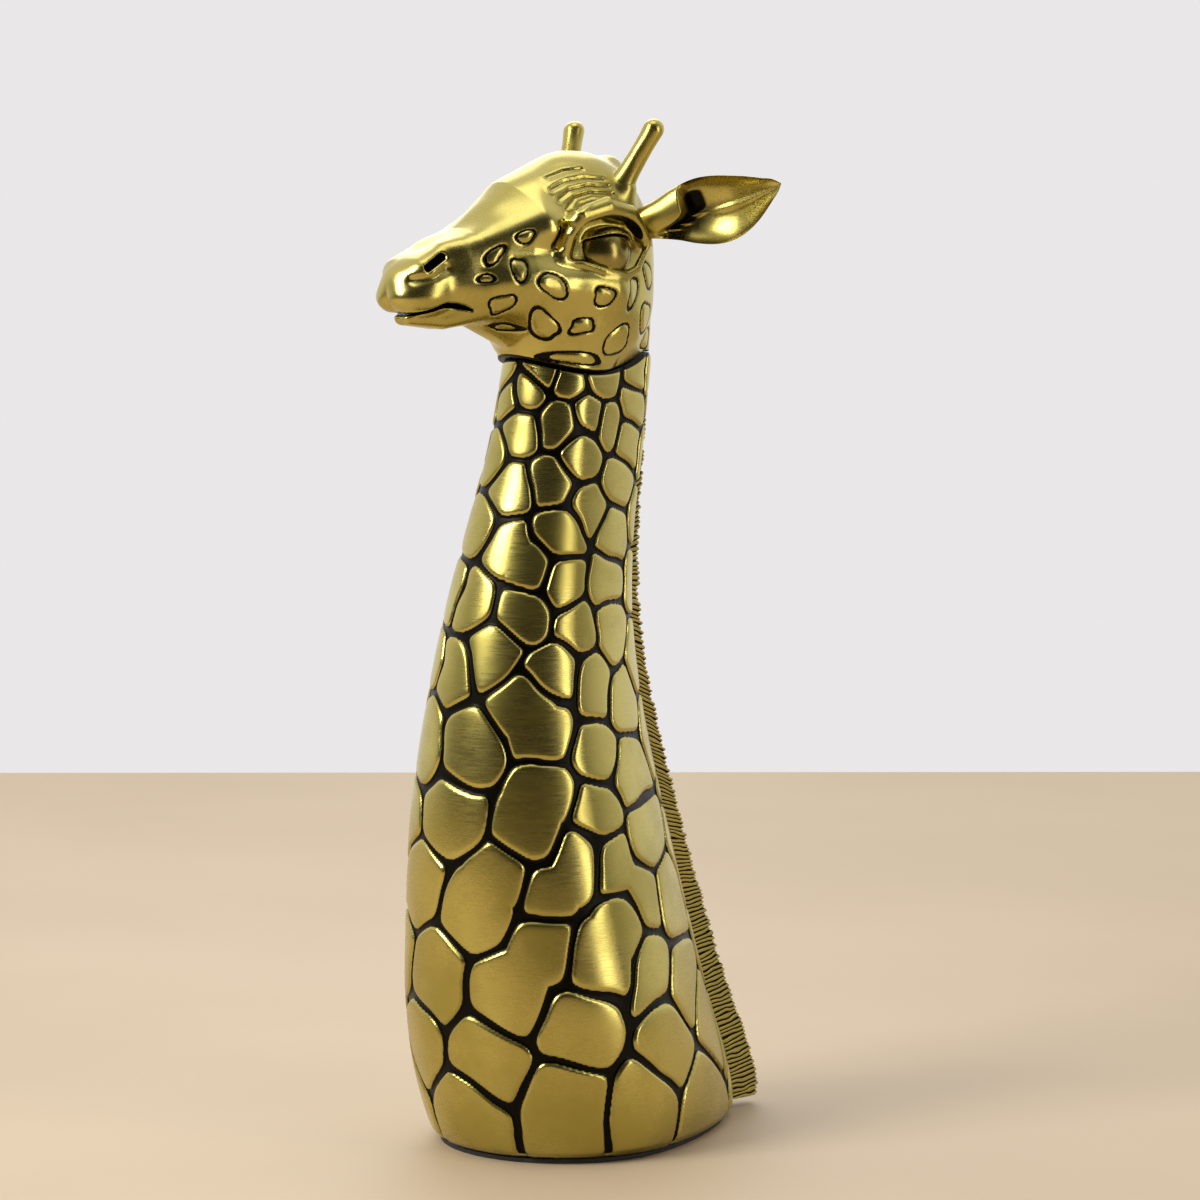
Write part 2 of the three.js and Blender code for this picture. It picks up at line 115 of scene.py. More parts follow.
def make_mesh(name, verts, faces, attributes=None, uv=None):
    """A mesh object from vertices in millimetres, smooth shaded, with float attributes on its points.
    faces is an array of quads, or a list of arrays of quads or triangles."""
    mesh = bpy.data.meshes.new(name)
    verts = np.asarray(verts, np.float32) * MM
    parts = faces if isinstance(faces, list) else [faces]
    corners = np.concatenate([np.ravel(f) for f in parts]).astype(np.int32)
    sides = np.concatenate([np.full(len(f), f.shape[1], np.int32) for f in parts])
    mesh.vertices.add(len(verts))
    mesh.vertices.foreach_set("co", verts.ravel())
    mesh.loops.add(len(corners))
    mesh.loops.foreach_set("vertex_index", corners)
    mesh.polygons.add(len(sides))
    mesh.polygons.foreach_set("loop_start", np.concatenate([[0], np.cumsum(sides)[:-1]]).astype(np.int32))
    mesh.polygons.foreach_set("loop_total", sides)
    mesh.update(calc_edges=True)
    mesh.polygons.foreach_set("use_smooth", np.ones(len(sides), bool))
    for key, values in (attributes or {}).items():
        layer = mesh.attributes.new(key, "FLOAT", "POINT")
        layer.data.foreach_set("value", np.asarray(values, np.float32).ravel())
    if uv is not None:
        layer = mesh.uv_layers.new(name="OFBake")
        layer.data.foreach_set("uv", np.asarray(uv, np.float32).ravel())
    mesh.validate()
    obj = bpy.data.objects.new(name, mesh)
    bpy.context.scene.collection.objects.link(obj)
    return obj


def grid_faces(rows, columns, closed):
    """Quads over a rows by columns grid of points, joined up across the last column when closed."""
    i = np.arange(rows - 1)[:, None]
    j = np.arange(columns if closed else columns - 1)[None, :]
    k = (j + 1) % columns
    quad = np.stack([i * columns + j, i * columns + k, (i + 1) * columns + k, (i + 1) * columns + j], -1)
    return quad.reshape(-1, 4)


def grid_normals(p, closed):
    """Unit normals of a grid of points, whose first index is rows."""
    down = np.gradient(p, axis=0)
    if closed:
        across = np.roll(p, -1, 1) - np.roll(p, 1, 1)
    else:
        across = np.gradient(p, axis=1)
    n = np.cross(across, down)
    return n / np.maximum(np.linalg.norm(n, axis=-1, keepdims=True), 1e-9)


def finish_piece(obj, material, nodes):
    """Give a piece its material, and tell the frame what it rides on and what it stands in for."""
    obj.data.materials.clear()
    obj.data.materials.append(material)
    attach(obj, "root")
    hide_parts(*nodes)
    return obj


def add_head_part(kind, name, side, p, dark, material, node):
    """One of a pair of parts, from a closed grid of points worked out for the left in the head's frame."""
    faces = grid_faces(p.shape[0], p.shape[1], True)
    p = p * (side, 1, 1) + (0, 0, HEAD_BASE)
    faces = faces if side > 0 else faces[:, ::-1]
    obj = make_mesh(f"{kind}_{name}", p.reshape(-1, 3), faces, {"dark": dark.ravel()})
    return finish_piece(obj, material, [f"{node}_{name}"])


# ---- Materials ----


class Nodes:
    """A short way to write a node material. Each method adds a node and gives its output socket."""

    def __init__(self, name):
        self.material = bpy.data.materials.new(name)
        self.material.use_nodes = True
        self.tree = self.material.node_tree
        self.shader = self.tree.nodes["Principled BSDF"]
        self.position = self.tree.nodes.new("ShaderNodeTexCoord").outputs["Object"]

    def link(self, value, socket_patina_and_shade):
        if isinstance(value, bpy.types.NodeSocket):
            self.tree.links.new(value, socket_patina_and_shade)
        else:
            socket_patina_and_shade.default_value = value

    def set(self, name, value):
        self.link(value, self.shader.inputs[name])

    def noise(self, scale, detail=3.0, stretch=(1, 1, 1), rough=0.55, distort=0.0):
        mapping = self.tree.nodes.new("ShaderNodeMapping")
        mapping.inputs["Scale"].default_value = stretch
        self.link(self.position, mapping.inputs["Vector"])
        node = self.tree.nodes.new("ShaderNodeTexNoise")
        node.inputs["Scale"].default_value = scale
        node.inputs["Detail"].default_value = detail
        node.inputs["Roughness"].default_value = rough
        node.inputs["Distortion"].default_value = distort
        self.link(mapping.outputs["Vector"], node.inputs["Vector"])
        return node.outputs["Fac"]

    def ramp(self, value, lo, hi, to_lo=0.0, to_hi=1.0):
        node = self.tree.nodes.new("ShaderNodeMapRange")
        node.interpolation_type = "SMOOTHSTEP"
        node.inputs["From Min"].default_value = lo
        node.inputs["From Max"].default_value = hi
        node.inputs["To Min"].default_value = to_lo
        node.inputs["To Max"].default_value = to_hi
        self.link(value, node.inputs["Value"])
        return node.outputs["Result"]

    def math(self, operation, a, b=0.0):
        node = self.tree.nodes.new("ShaderNodeMath")
        node.operation = operation
        self.link(a, node.inputs[0])
        self.link(b, node.inputs[1])
        return node.outputs[0]

    def mix(self, factor, a, b):
        node = self.tree.nodes.new("ShaderNodeMix")
        node.data_type = "RGBA"
        self.link(factor, node.inputs[0])
        self.link((*a, 1) if isinstance(a, tuple) else a, node.inputs[6])
        self.link((*b, 1) if isinstance(b, tuple) else b, node.inputs[7])
        return node.outputs[2]

    def attribute(self, name):
        node = self.tree.nodes.new("ShaderNodeAttribute")
        node.attribute_name = name
        return node.outputs["Fac"]

    def bump(self, height, distance, strength=1.0):
        node = self.tree.nodes.new("ShaderNodeBump")
        node.inputs["Distance"].default_value = distance
        node.inputs["Strength"].default_value = strength
        self.link(height, node.inputs["Height"])
        self.set("Normal", node.outputs["Normal"])


# Near black: patina in recesses, and painted shade round the eyes.
PATINA_AND_SHADE = (0.006, 0.005, 0.003)
WORN_BRASS = (0.36, 0.29, 0.09)


def brass_material(
    name, rough=0.26, stretch=(0.06, 0.06, 1), light=(0.56, 0.475, 0.135), deep=(0.43, 0.36, 0.085)
):
    """Satin brushed brass. The point attribute dark runs from 0 on clean metal to 1 where patina fills a
    recess, and it also carries painted shade in the eye sockets and round the eyeballs."""
    m = Nodes(name)
    cloud = m.noise(28, 4)
    brushed = m.noise(2600, 2, stretch)
    worn = m.noise(160, 5, rough=0.7)
    fine = m.noise(900, 2)
    colour = m.mix(m.ramp(cloud, 0.35, 0.68), light, deep)
    colour = m.mix(m.ramp(worn, 0.55, 0.8, 0.0, 0.35), colour, WORN_BRASS)
    edge = m.math("ADD", m.attribute("dark"), m.math("MULTIPLY", m.math("SUBTRACT", worn, 0.5), 0.35))
    # Where dark is high the brass turns near black: patina, and painted shade round the eyes.
    patina_and_shade = m.ramp(edge, 0.32, 0.62)
    colour = m.mix(patina_and_shade, colour, PATINA_AND_SHADE)
    m.set("Base Color", colour)
    m.set("Metallic", 1.0)
    strokes = m.ramp(brushed, 0.3, 0.7, rough - 0.02, rough + 0.04)
    polish = m.math("ADD", strokes, m.ramp(cloud, 0.3, 0.7, -0.03, 0.05))
    m.set("Roughness", m.math("ADD", polish, m.math("MULTIPLY", patina_and_shade, 0.2)))
    height = m.math("ADD", m.math("MULTIPLY", brushed, 0.5), m.math("MULTIPLY", fine, 0.5))
    m.bump(height, 0.00002, 0.14)
    m.set("Coat Weight", 0.12)
    m.set("Coat Roughness", 0.3)
    return m.material


def steel_material(name):
    m = Nodes(name)
    worn = m.noise(400, 4)
    m.set("Base Color", m.mix(m.ramp(worn, 0.4, 0.7), (0.55, 0.55, 0.56), (0.4, 0.39, 0.38)))
    m.set("Metallic", 1.0)
    m.set("Roughness", m.ramp(m.noise(3000, 2, (1, 1, 0.1)), 0.3, 0.7, 0.25, 0.45))
    return m.material


def sheet_material(name):
    m = Nodes(name)
    grain = m.noise(1800, 3)
    m.set("Base Color", m.mix(m.ramp(m.noise(60, 3), 0.3, 0.7), (0.03, 0.03, 0.032), (0.05, 0.05, 0.05)))
    m.set("Roughness", m.ramp(grain, 0.3, 0.7, 0.55, 0.75))
    m.bump(grain, 0.00005, 0.5)
    return m.material


def felt_material(name):
    m = Nodes(name)
    fibre = m.noise(2400, 4, rough=0.7, distort=1.5)
    m.set("Base Color", m.mix(m.ramp(fibre, 0.3, 0.7), (0.02, 0.02, 0.022), (0.06, 0.06, 0.062)))
    m.set("Roughness", m.ramp(fibre, 0.3, 0.7, 0.9, 1.0))
    m.bump(fibre, 0.0003, 0.8)
    return m.material


NECK_BRASS = brass_material("neck_brass")
HEAD_BRASS = brass_material("head_brass", rough=0.24, stretch=(1, 0.1, 1))
HORN_BRASS = brass_material("horn_brass", rough=0.25, stretch=(1, 1, 0.06), light=(0.6, 0.49, 0.12))
EAR_BRASS = brass_material("ear_brass", rough=0.26, stretch=(0.08, 1, 1))
MANE_BRASS = brass_material("mane_brass", rough=0.34, stretch=(1, 0.1, 1), light=(0.52, 0.42, 0.11))
EYE_BRASS = brass_material(
    "eye_brass", rough=0.2, stretch=(1, 1, 1), light=(0.4, 0.33, 0.1), deep=(0.3, 0.24, 0.06)
)
STEEL = steel_material("pin_steel_worn")
SHEET = sheet_material("plate_sheet")
FELT = felt_material("felt_pressed")


# ---- Neck ----

# Height as a share of the neck's, radius of the round front, its centre, and where the flanks meet.
NECK_STATIONS = [
    (0.0, 43.5, -4.5, 65.5),
    (0.025, 45.5, -5.5, 66.5),
    (0.07, 47.4, -7.5, 64),
    (0.17, 47.6, -12.2, 54.5),
    (0.29, 43.6, -17.2, 45),
    (0.43, 38.2, -21.6, 34.5),
    (0.565, 32, -23, 25.5),
    (0.69, 27, -21, 21.2),
    (0.8, 23, -16.5, 22.5),
    (0.9, 20, -11.5, 26.5),
    (1.0, 18.4, -7.5, 29.8),
]
FLANK_POWER = 1.6  # how full the flanks are between the front and the mane
TAIL = 7.2  # half width of the neck where the mane stands


def neck_value(z, which):
    return curve([(s[0], s[which]) for s in NECK_STATIONS], z / NECK_HEIGHT)


def neck_surface(angle, z):
    """Points of the smooth neck. angle, in radians, runs from 0 at the front to pi at the mane, positive on the
    left."""
    angle, z = np.broadcast_arrays(np.asarray(angle, float), np.asarray(z, float))
    radius, centre, back = (neck_value(z, i) for i in (1, 2, 3))
    behind = np.clip(-np.cos(angle), 0, 1)
    flank = (radius - TAIL) * (1 - behind**FLANK_POWER) ** 0.9
    flank = flank + TAIL * np.sqrt(np.clip(1 - behind**12, 0, 1))
    x = np.where(behind > 0, np.sign(np.sin(angle)) * flank, radius * np.sin(angle))
    y = np.where(behind > 0, centre + (back - centre) * behind, centre - radius * np.cos(angle))
    return np.stack([x, y, z], -1)


# Coat patches of the side that shows most, from the base up. Each is one or two places, as (angle in degrees,
# height).
PATCHES = [
    [(10, 16)], [(57, 22)], [(92, 21)], [(121, 15)], [(-38, 20)],
    [(-15, 37)], [(26, 37)], [(68, 49)], [(105, 38)], [(139, 37)],
    [(3, 60)], [(-38, 66)], [(39, 60), (57, 75)], [(82, 70), (95, 78)], [(104, 65)],
    [(123, 56)], [(128, 83)], [(97, 98), (110, 86)], [(61, 91), (79, 99)], [(27, 85), (40, 97)],
    [(-12, 93)], [(12, 115)], [(55, 111), (66, 123)], [(94, 117)], [(121, 106)], [(-34, 112)],
    [(119, 127)], [(97, 136)], [(22, 139)], [(-20, 140)], [(55, 153), (67, 143)], [(101, 157)],
    [(122, 152)], [(1, 163)], [(-32, 166)], [(31, 168)], [(73, 163)], [(53, 184)], [(91, 178)],
    [(117, 175)], [(8, 187)], [(79, 192)], [(-22, 188)], [(113, 191)], [(34, 202), (53, 197)],
    [(72, 207)], [(117, 207)], [(-13, 210)], [(99, 216)], [(22, 223)], [(60, 225)], [(118, 224)],
    [(-15, 233)], [(91, 233)], [(57, 244)], [(20, 241)], [(92, 247)], [(109, 242)], [(126, 237)],
    [(22, 254)], [(-4, 252)], [(38, 261)], [(66, 259)], [(100, 258)], [(129, 249)], [(132, 261)],
    [(-22, 260)],
]
FAR_SIDE = (152, 312)  # angles that the turned copy of the layout fills
# Half a groove's width, and its depth, by share of the neck's height.
GROOVE_HALF = ((0, 1.4), (0.5, 1.15), (1.0, 0.9))
GROOVE_DEPTH = ((0, 1.3), (0.5, 1.05), (1.0, 0.8))
NECK_ROWS, NECK_COLUMNS = 400, 520
NECK_UV_EDGE = 0.03  # share of the picture's height kept for the rim's underside, and for the top


def patch_seeds():
    """Points on the neck, and the number of the patch each belongs to. The other side carries the same layout
    turned half round, moved a little so that it isn't a copy."""
    rng = np.random.default_rng(7)
    seeds = []
    patch = 0
    for places in PATCHES:
        shift, rise = rng.uniform(-5, 5), rng.uniform(-4, 4)
        for angle, height in places:
            seeds.append((angle, height, patch))
            turned = angle + 180 + shift
            if FAR_SIDE[0] < turned < FAR_SIDE[1]:
                seeds.append((turned - 360 if turned > 180 else turned, height + rise, patch + 1))
        patch += 2
    a = np.radians([s[0] for s in seeds])
    z = np.clip([s[1] for s in seeds], 4, NECK_HEIGHT)
    return neck_surface(a, z), np.array([s[2] for s in seeds])


def border_distance(points, seeds, patch, round_by):
    """How far each point lies from the nearest border between patches, rounded off where borders meet."""
    block, neighbours = 8000, 10
    out = np.empty(len(points))
    for start in range(0, len(points), block):
        p = points[start : start + block]
        blend = round_by[start : start + block]
        row = np.arange(len(p))
        d2 = ((p[:, None, :] - seeds[None, :, :]) ** 2).sum(-1)
        near = np.argsort(d2, axis=1)[:, :neighbours]
        own = near[:, 0]
        total = 1e-12
        for other in near.T[1:]:
            apart = np.linalg.norm(seeds[other] - seeds[own], axis=1)
            to_border = (d2[row, other] - d2[row, own]) / (2 * apart)
            total = total + np.where(patch[other] == patch[own], 0, np.exp(-to_border / blend))
        out[start : start + block] = -blend * np.log(total)
    return out


def neck_angles():
    """Angles of the columns, spaced evenly round the girth."""
    probe = np.linspace(0, math.pi, 721)
    girth = neck_surface(probe, np.full(721, 90.0))
    run = np.concatenate([[0], np.cumsum(np.linalg.norm(np.diff(girth, axis=0), axis=1))])
    half = np.interp(np.linspace(0, run[-1], NECK_COLUMNS // 2 + 1), run, probe)
    return np.concatenate([half[:-1], -half[::-1][:-1]])


def neck_uv():
    """The neck unrolled: one turn across the picture, with the rim and the top in thin strips."""
    u = np.concatenate([np.linspace(0, 1, NECK_COLUMNS + 1)[:-1], [1.0]])
    v = np.linspace(NECK_UV_EDGE, 1 - NECK_UV_EDGE, NECK_ROWS)
    uv = []
    for low, high in ((v[:-1], v[1:]), (v[:1], np.array([0.0])), (v[-1:], np.array([1.0]))):
        shape = (len(low), NECK_COLUMNS)
        u0, u1 = np.broadcast_to(u[:-1], shape), np.broadcast_to(u[1:], shape)
        v0, v1 = np.broadcast_to(low[:, None], shape), np.broadcast_to(high[:, None], shape)
        corners = [(u0, v0), (u1, v0), (u1, v1), (u0, v1)]
        if high[0] == 0.0:
            corners = [(u0, v0), (u0, v1), (u1, v1), (u1, v0)]
        uv.append(np.stack([np.stack(c, -1) for c in corners], 2).reshape(-1, 2))
    return np.concatenate(uv)


def build_neck():
    rows, columns = NECK_ROWS, NECK_COLUMNS
    angle = neck_angles()
    # The top edge follows the line where the head sits.
    top_edge = HEAD_BASE + joint_height(neck_surface(angle, NECK_HEIGHT)[:, 1]) - 0.35
    z = RIM + (top_edge[None, :] - RIM) * np.linspace(0, 1, rows)[:, None]
    p = neck_surface(angle[None, :], z)
    normal = grid_normals(p, True)
    share = np.clip(z / NECK_HEIGHT, 0, 1)
    flat = p.reshape(-1, 3)

    # Borders between patches wander a little, less so towards the top, where patches are small.
    size = 17 - 7 * share.ravel()
    warp = np.stack([noise(flat / size[:, None], 1.0, s) for s in (1, 2, 3)], -1)
    wobble = (2.8 - 1.3 * share.ravel())[:, None] * warp
    edge = border_distance(flat + wobble, *patch_seeds(), 1.3 - 0.5 * share.ravel()).reshape(rows, columns)
    wide = curve(GROOVE_HALF, share) * (1 + 0.16 * noise(flat / 9, 1.0, 5).reshape(rows, columns))
    from_groove = edge - wide

    # Grooves are cut, the patches' shoulders are rounded, and the top and the rim turn in.
    groove = (1 - smoothstep(-0.35, 0.25, from_groove)) * smoothstep(RIM, 4.0, z)
    shoulder = np.exp(-np.clip(from_groove, 0, None) / 0.4) * 0.3
    swell = 0.05 * smoothstep(0, 3, from_groove) - 0.05
    dents = 0.035 * noise(flat / 13, 1.0, 8).reshape(rows, columns)
    top = smoothstep(1.5, 0.4, top_edge[None, :] - z)
    lift = swell + dents - curve(GROOVE_DEPTH, share) * groove - (shoulder + 0.6 * top) * (1 - groove)
    lift = lift - smoothstep(4.5, RIM, z)
    p = p + normal * lift[..., None]
    dark = np.maximum(smoothstep(0.25, -0.35, from_groove) * smoothstep(RIM, 3.5, z), top)

    # The edges turn in under the rim and over the top.
    verts = np.concatenate([p.reshape(-1, 3), p[0] * (0.93, 0.93, 1), p[-1] * (0.7, 0.7, 1)])
    here = np.arange(columns)
    following = (here + 1) % columns
    upper, base = (rows - 1) * columns, rows * columns
    ring = np.stack([here, base + here, base + following, following], -1)
    lid = np.stack([upper + here, upper + following, base + columns + following, base + columns + here], -1)
    faces = np.concatenate([grid_faces(rows, columns, True), ring, lid])
    dark = np.concatenate([dark.ravel(), np.full(columns, 0.3), np.ones(columns)])
    obj = make_mesh("neck_casting", verts, faces, {"dark": dark}, neck_uv())
    return finish_piece(obj, NECK_BRASS, ["neck_shell"])


# ---- Mane ----

# How far the mane stands out and how its locks slope, by share of the neck's height.
MANE_PROUD = ((0, 15.5), (0.08, 15), (0.29, 11.5), (0.565, 8.5), (0.8, 5.5), (0.95, 2.6), (1.0, 1.5))
MANE_SLOPE = ((0, 0.1), (0.25, 0.15), (0.5, -0.5), (0.7, -0.2), (0.85, 0.5), (1, 0.9))
LOCK_PITCH = 1.55


def build_mane():
    """A tapered strip of hair: locks run out from the neck and slope as they go, with dark between them."""
    rows, across = 1500, 44
    z = np.linspace(3.0, NECK_HEIGHT - 3.0, rows)
    share = z / NECK_HEIGHT
    back = neck_value(z, 3)
    proud = curve(MANE_PROUD, share)
    # s runs from the root on the left, round the outer edge, to the root on the right.
    s = np.linspace(-1, 1, across)
    out = 1 - np.abs(s) ** 1.6
    half = (1 - out) ** 0.5 * 1.3 + 2.3
    x = np.sign(s) * np.minimum(1, np.abs(s) * 7) * half
    depth = np.clip(out * 1.04, 0, 1)
    slope = curve(MANE_SLOPE, share)
    reach = depth[None, :] * proud[:, None]
    phase = (z[:, None] - slope[:, None] * reach) / LOCK_PITCH
    side = np.where(s > 0, 40.0, 0.0)[None, :] + 0 * phase
    phase = phase + 0.35 * noise(np.stack([phase * 0.6, reach * 0.25, side], -1), 1.0, 3)
    lock = np.floor(phase)
    within = phase - lock
    rand = lattice(np.stack([lock, side, 0 * lock], -1), 9)
    ridge = np.sin(math.pi * within) ** 0.7
    tip = smoothstep(0.55, 1.0, depth)[None, :]
    root = smoothstep(0.0, 0.16, depth)[None, :]
    body = 0.5 * root * (ridge - 1)
    y = back[:, None] - 1.6 + reach + tip * (0.5 * rand - 0.9 * (1 - ridge))
    y = y - tip * 0.4
    squeeze = x[None, :] + np.sign(x)[None, :] * (body + 0.15 * rand * root)
    # A plain bead runs along the root.
    bead = bell(depth - 0.05, 0.05)[None, :]
    squeeze = squeeze + np.sign(x)[None, :] * 0.35 * bead
    p = np.stack([squeeze, y, z[:, None] + 0 * y], -1)
    dark = root * smoothstep(0.86, 0.5, ridge) * (1 - 0.55 * bead)
    count = rows * across
    ends = [[0, back[0] - 1, z[0]], [0, back[-1] - 1, z[-1]]]
    first, last = np.arange(across), np.arange((rows - 1) * across, count)
    low = np.stack([first[1:], first[:-1], np.full(across - 1, count)], -1)
    high = np.stack([last[:-1], last[1:], np.full(across - 1, count + 1)], -1)
    faces = [grid_faces(rows, across, False)[:, ::-1], low[:, ::-1], high[:, ::-1]]
    verts = np.concatenate([p.reshape(-1, 3), ends])
    dark = np.concatenate([dark.ravel(), [0.5, 0.5]])
    obj = make_mesh("mane_hair", verts, faces, {"dark": dark})
    return finish_piece(obj, MANE_BRASS, ["mane_strip"])


# ---- Head, as a distance field ----


def ball(p, centre, radii):
    x, y, z = (p[..., i] - centre[i] for i in range(3))
    a, b, c = radii
    k0 = np.sqrt((x / a) ** 2 + (y / b) ** 2 + (z / c) ** 2)
    k1 = np.sqrt((x / a**2) ** 2 + (y / b**2) ** 2 + (z / c**2) ** 2)
    return k0 * (k0 - 1) / np.maximum(k1, 1e-6)


def rod(p, a, b, ra, rb):
    """Distance from a rod whose radius runs from ra at a to rb at b."""
    a, b = np.array(a, float), np.array(b, float)
    t = clamp01(((p - a) @ (b - a)) / ((b - a) @ (b - a)))
    return np.linalg.norm(p - (a + t[..., None] * (b - a)), axis=-1) - (ra + (rb - ra) * t)


def strip(q, points):
    """Distance, seen from the side, to a line through points given as (y, z)."""
    best = np.full(q.shape[:-1], 99.0)
    for (y0, z0), (y1, z1) in zip(points[:-1], points[1:]):
        dy, dz = y1 - y0, z1 - z0
        t = clamp01(((q[..., 1] - y0) * dy + (q[..., 2] - z0) * dz) / (dy * dy + dz * dz))
        best = np.minimum(best, np.hypot(q[..., 1] - y0 - t * dy, q[..., 2] - z0 - t * dz))
    return best


def rods(q, points):
    """Distance to a line of rods through (x, y, z, radius) points."""
    best = np.full(q.shape[:-1], 99.0)
    for a, b in zip(points[:-1], points[1:]):
        best = np.minimum(best, rod(q, a[:3], b[:3], a[3], b[3]))
    return best


# The face's own features, in the head's frame, on the left.
EYE_CENTRE = np.array((16.4, -2.6, 37.4))
EYE_RADIUS = 10.4
SOCKET = ((26.0, -4.6, 40.2), (6.6, 14.8, 9.4))  # centre and radii
LID_HALF = 1.25  # half the height of the upper lid's band
# Lines of (x, y, z, radius).
BROW = [
    (20.4, -20.5, 37, 1.2),
    (22.4, -19.5, 44, 2.6),
    (24.2, -16, 49.6, 3.3),
    (25, -6, 52.4, 3.5),
    (24, 4, 50.2, 3.2),
    (22.6, 12.5, 41, 2),
]
LOWER_LID = [
    (20.2, -23.5, 34.6, 0.7),
    (23.0, -14.5, 34.0, 1.1),
    (25.0, -7, 31.4, 1.4),
    (25.4, 1.5, 29.9, 1.5),
    (24.6, 7, 32.2, 1.4),
    (23.2, 12, 39, 1.0),
]
# Lines of (y, z), seen from the side: wrinkles over the brow, the pit before the eye, mouth and nostril.
CREASES = [
    [(-18, 51.8), (-13.5, 55.6), (-7.5, 57.3), (1.5, 57.0)],
    [(-20, 54.8), (-14.5, 58.0), (-7.5, 59.6), (1, 59.4)],
    [(-21, 58.2), (-15, 60.8), (-8, 62.1), (0, 61.8)],
    [(-20, 62.0), (-13, 64.3), (-7, 65)],
]
PIT = [(-21.4, 46), (-23.2, 40.2)]
MOUTH_LINE = ((-80, 17.3), (-76, 17.4), (-69, 18.4), (-61, 20.8), (-55, 20.2), (-51, 19.0))
MOUTH_OPEN = ((-80, 0.45), (-70, 0.5), (-61, 0.75), (-54.5, 0.6), (-50.5, 0.15))
NOSTRIL = [(-68.6, 32.9), (-62.2, 36.6)]
NOSTRIL_FOLD = [(-72.5, 28.8), (-66, 30.2), (-61.5, 32.6)]


def joint_height(y):
    """Height of the line where the head meets the neck."""
    return -1.6 + 0.0085 * np.clip(y + 3.0, -28, 26) ** 2


def upper_lid_edge(y):
    """Height of the upper lid's edge along the eye."""
    return 43.9 - 0.024 * (y + 3.0) ** 2


def lower_lid_edge(y):
    """Height of the lower lid's edge along the eye."""
    return 30.6 + 0.02 * (y - 1.0) ** 2


def head_mass(q):
    """The head before eyes, nostrils and mouth are cut."""
    # Skull, back of the head and cheeks.
    d = ball(q, (0, -2, 42), (21.5, 29, 29.5))
    d = smin(d, ball(q, (0, 9, 27), (17, 20.5, 30)), 7)
    d = smin(d, ball(q, (7.5, -5, 20), (17, 26.5, 22)), 7)
    # Muzzle, its end, the swelling round the nostril and the upper lip.
    d = smin(d, rods(q, [(0, -24, 44, 18), (0, -45, 34.8, 11.8), (0, -63, 28.6, 9.4)]), 9)
    d = smin(d, rod(q, (3.5, -60, 27), (8, -30, 27), 8.6, 14.0), 6)
    d = smin(d, ball(q, (0, -65, 27.6), (11.2, 12, 8.6)), 4)
    d = smin(d, rod(q, (6.0, -59, 36.6), (7.2, -67.5, 31.6), 4.0, 4.2), 4)
    d = smin(d, ball(q, (3.4, -66.6, 23.2), (8.8, 10.6, 5.9)), 3.5)
    # The flat of the face between eye and nose, and the cheek bone under the eye.
    d = smin(d, rod(q, (8.5, -52, 38), (16.5, -26, 46), 3.2, 4.0), 9)
    d = smin(d, rod(q, (15.5, -40, 29), (22.3, -2, 26), 3.4, 4.4), 8)
    # Lower jaw and chin, then the throat down to the neck.
    d = smin(d, rods(q, [(2.4, -70, 16.6, 1.9), (4.6, -58, 17.0, 4.0), (8.5, -44, 22, 6.5)]), 1.6)
    throat = [(0, -69, 16.8, 2.1), (0, -57, 17.2, 4.2), (0, -44, 22, 8.4), (0, -28, 17.5, 11)]
    d = smin(d, rods(q, throat), 3)
    # Collar that carries on the line of the neck.
    plan = np.stack([q[..., 0], q[..., 1], 0 * q[..., 2]], -1)
    collar = rods(plan, [(0, -8.5, 0, 18.6), (0, -7.5, 0, 19.0), (0, 21, 0, 8.6)])
    d = smin(d, smax(collar, np.abs(q[..., 2] - 4) - 9.5, 4), 5)
    # Brow, arching over the eye and down in front of it.
    d = smin(d, rods(q, BROW), 4)
    # Seats of the horns, and the crown behind the forehead.
    d = smin(d, rod(q, (13.2, 6.5, 49), (14.7, 8.7, 58.6), 5.6, 4.7), 3)
    return smin(d, ball(q, (0, 14, 64), (4.5, 6, 6)), 4)


def head_distance(p):
    """Signed distance to the head in its own frame, from the left half, as both halves mirror."""
    q = np.stack([np.abs(p[..., 0]), p[..., 1], p[..., 2]], -1)
    d = head_mass(q)
    outside = smoothstep(6, 12, q[..., 0])
    for line in CREASES:
        e = strip(q, line)
        d = d + outside * (0.42 * bell(e, 0.55) - 0.2 * bell(e - 1.2, 0.6))
    d = d + outside * 1.5 * bell(strip(q, PIT), 1.5)
    # Socket.
    d = smax(d, -ball(q, *SOCKET), 1.4)
    # Lids: the upper is a thin band that droops over the ball, the lower a ledge that runs to the corner.
    r = np.linalg.norm(q - EYE_CENTRE, axis=-1)
    band = np.abs(r - EYE_RADIUS - 0.3) - 1.2
    up = q[..., 2] - upper_lid_edge(q[..., 1])
    d = smin(d, smax(band, np.abs(up - LID_HALF) - LID_HALF, 0.7), 0.9)
    shelf = smax(np.abs(r - EYE_RADIUS + 0.6) - 1.6, q[..., 2] - lower_lid_edge(q[..., 1]), 0.7)
    d = smin(d, shelf, 1.2)
    d = smin(d, rods(q, LOWER_LID), 1.5)
    # Nostril, and the fold below it.
    front = smoothstep(5, 8, q[..., 0])
    slit = np.maximum(strip(q, NOSTRIL) - 1.15, -(d + 3.0))
    d = smax(d, -np.where(q[..., 0] > 4, slit, 9), 0.8)
    d = d + front * 0.9 * bell(strip(q, NOSTRIL_FOLD), 1.5)
    # Mouth.
    line = curve(MOUTH_LINE, q[..., 1])
    slit = np.maximum(np.abs(q[..., 2] - line) - curve(MOUTH_OPEN, q[..., 1]), -(d + 2.6))
    slit = np.maximum(slit, q[..., 1] + 51.0)
    d = smax(d, -slit, 0.8)
    # The end of the head, along the line where it sits on the neck.
    return smax(d, joint_height(q[..., 1]) - q[..., 2], 0.5)


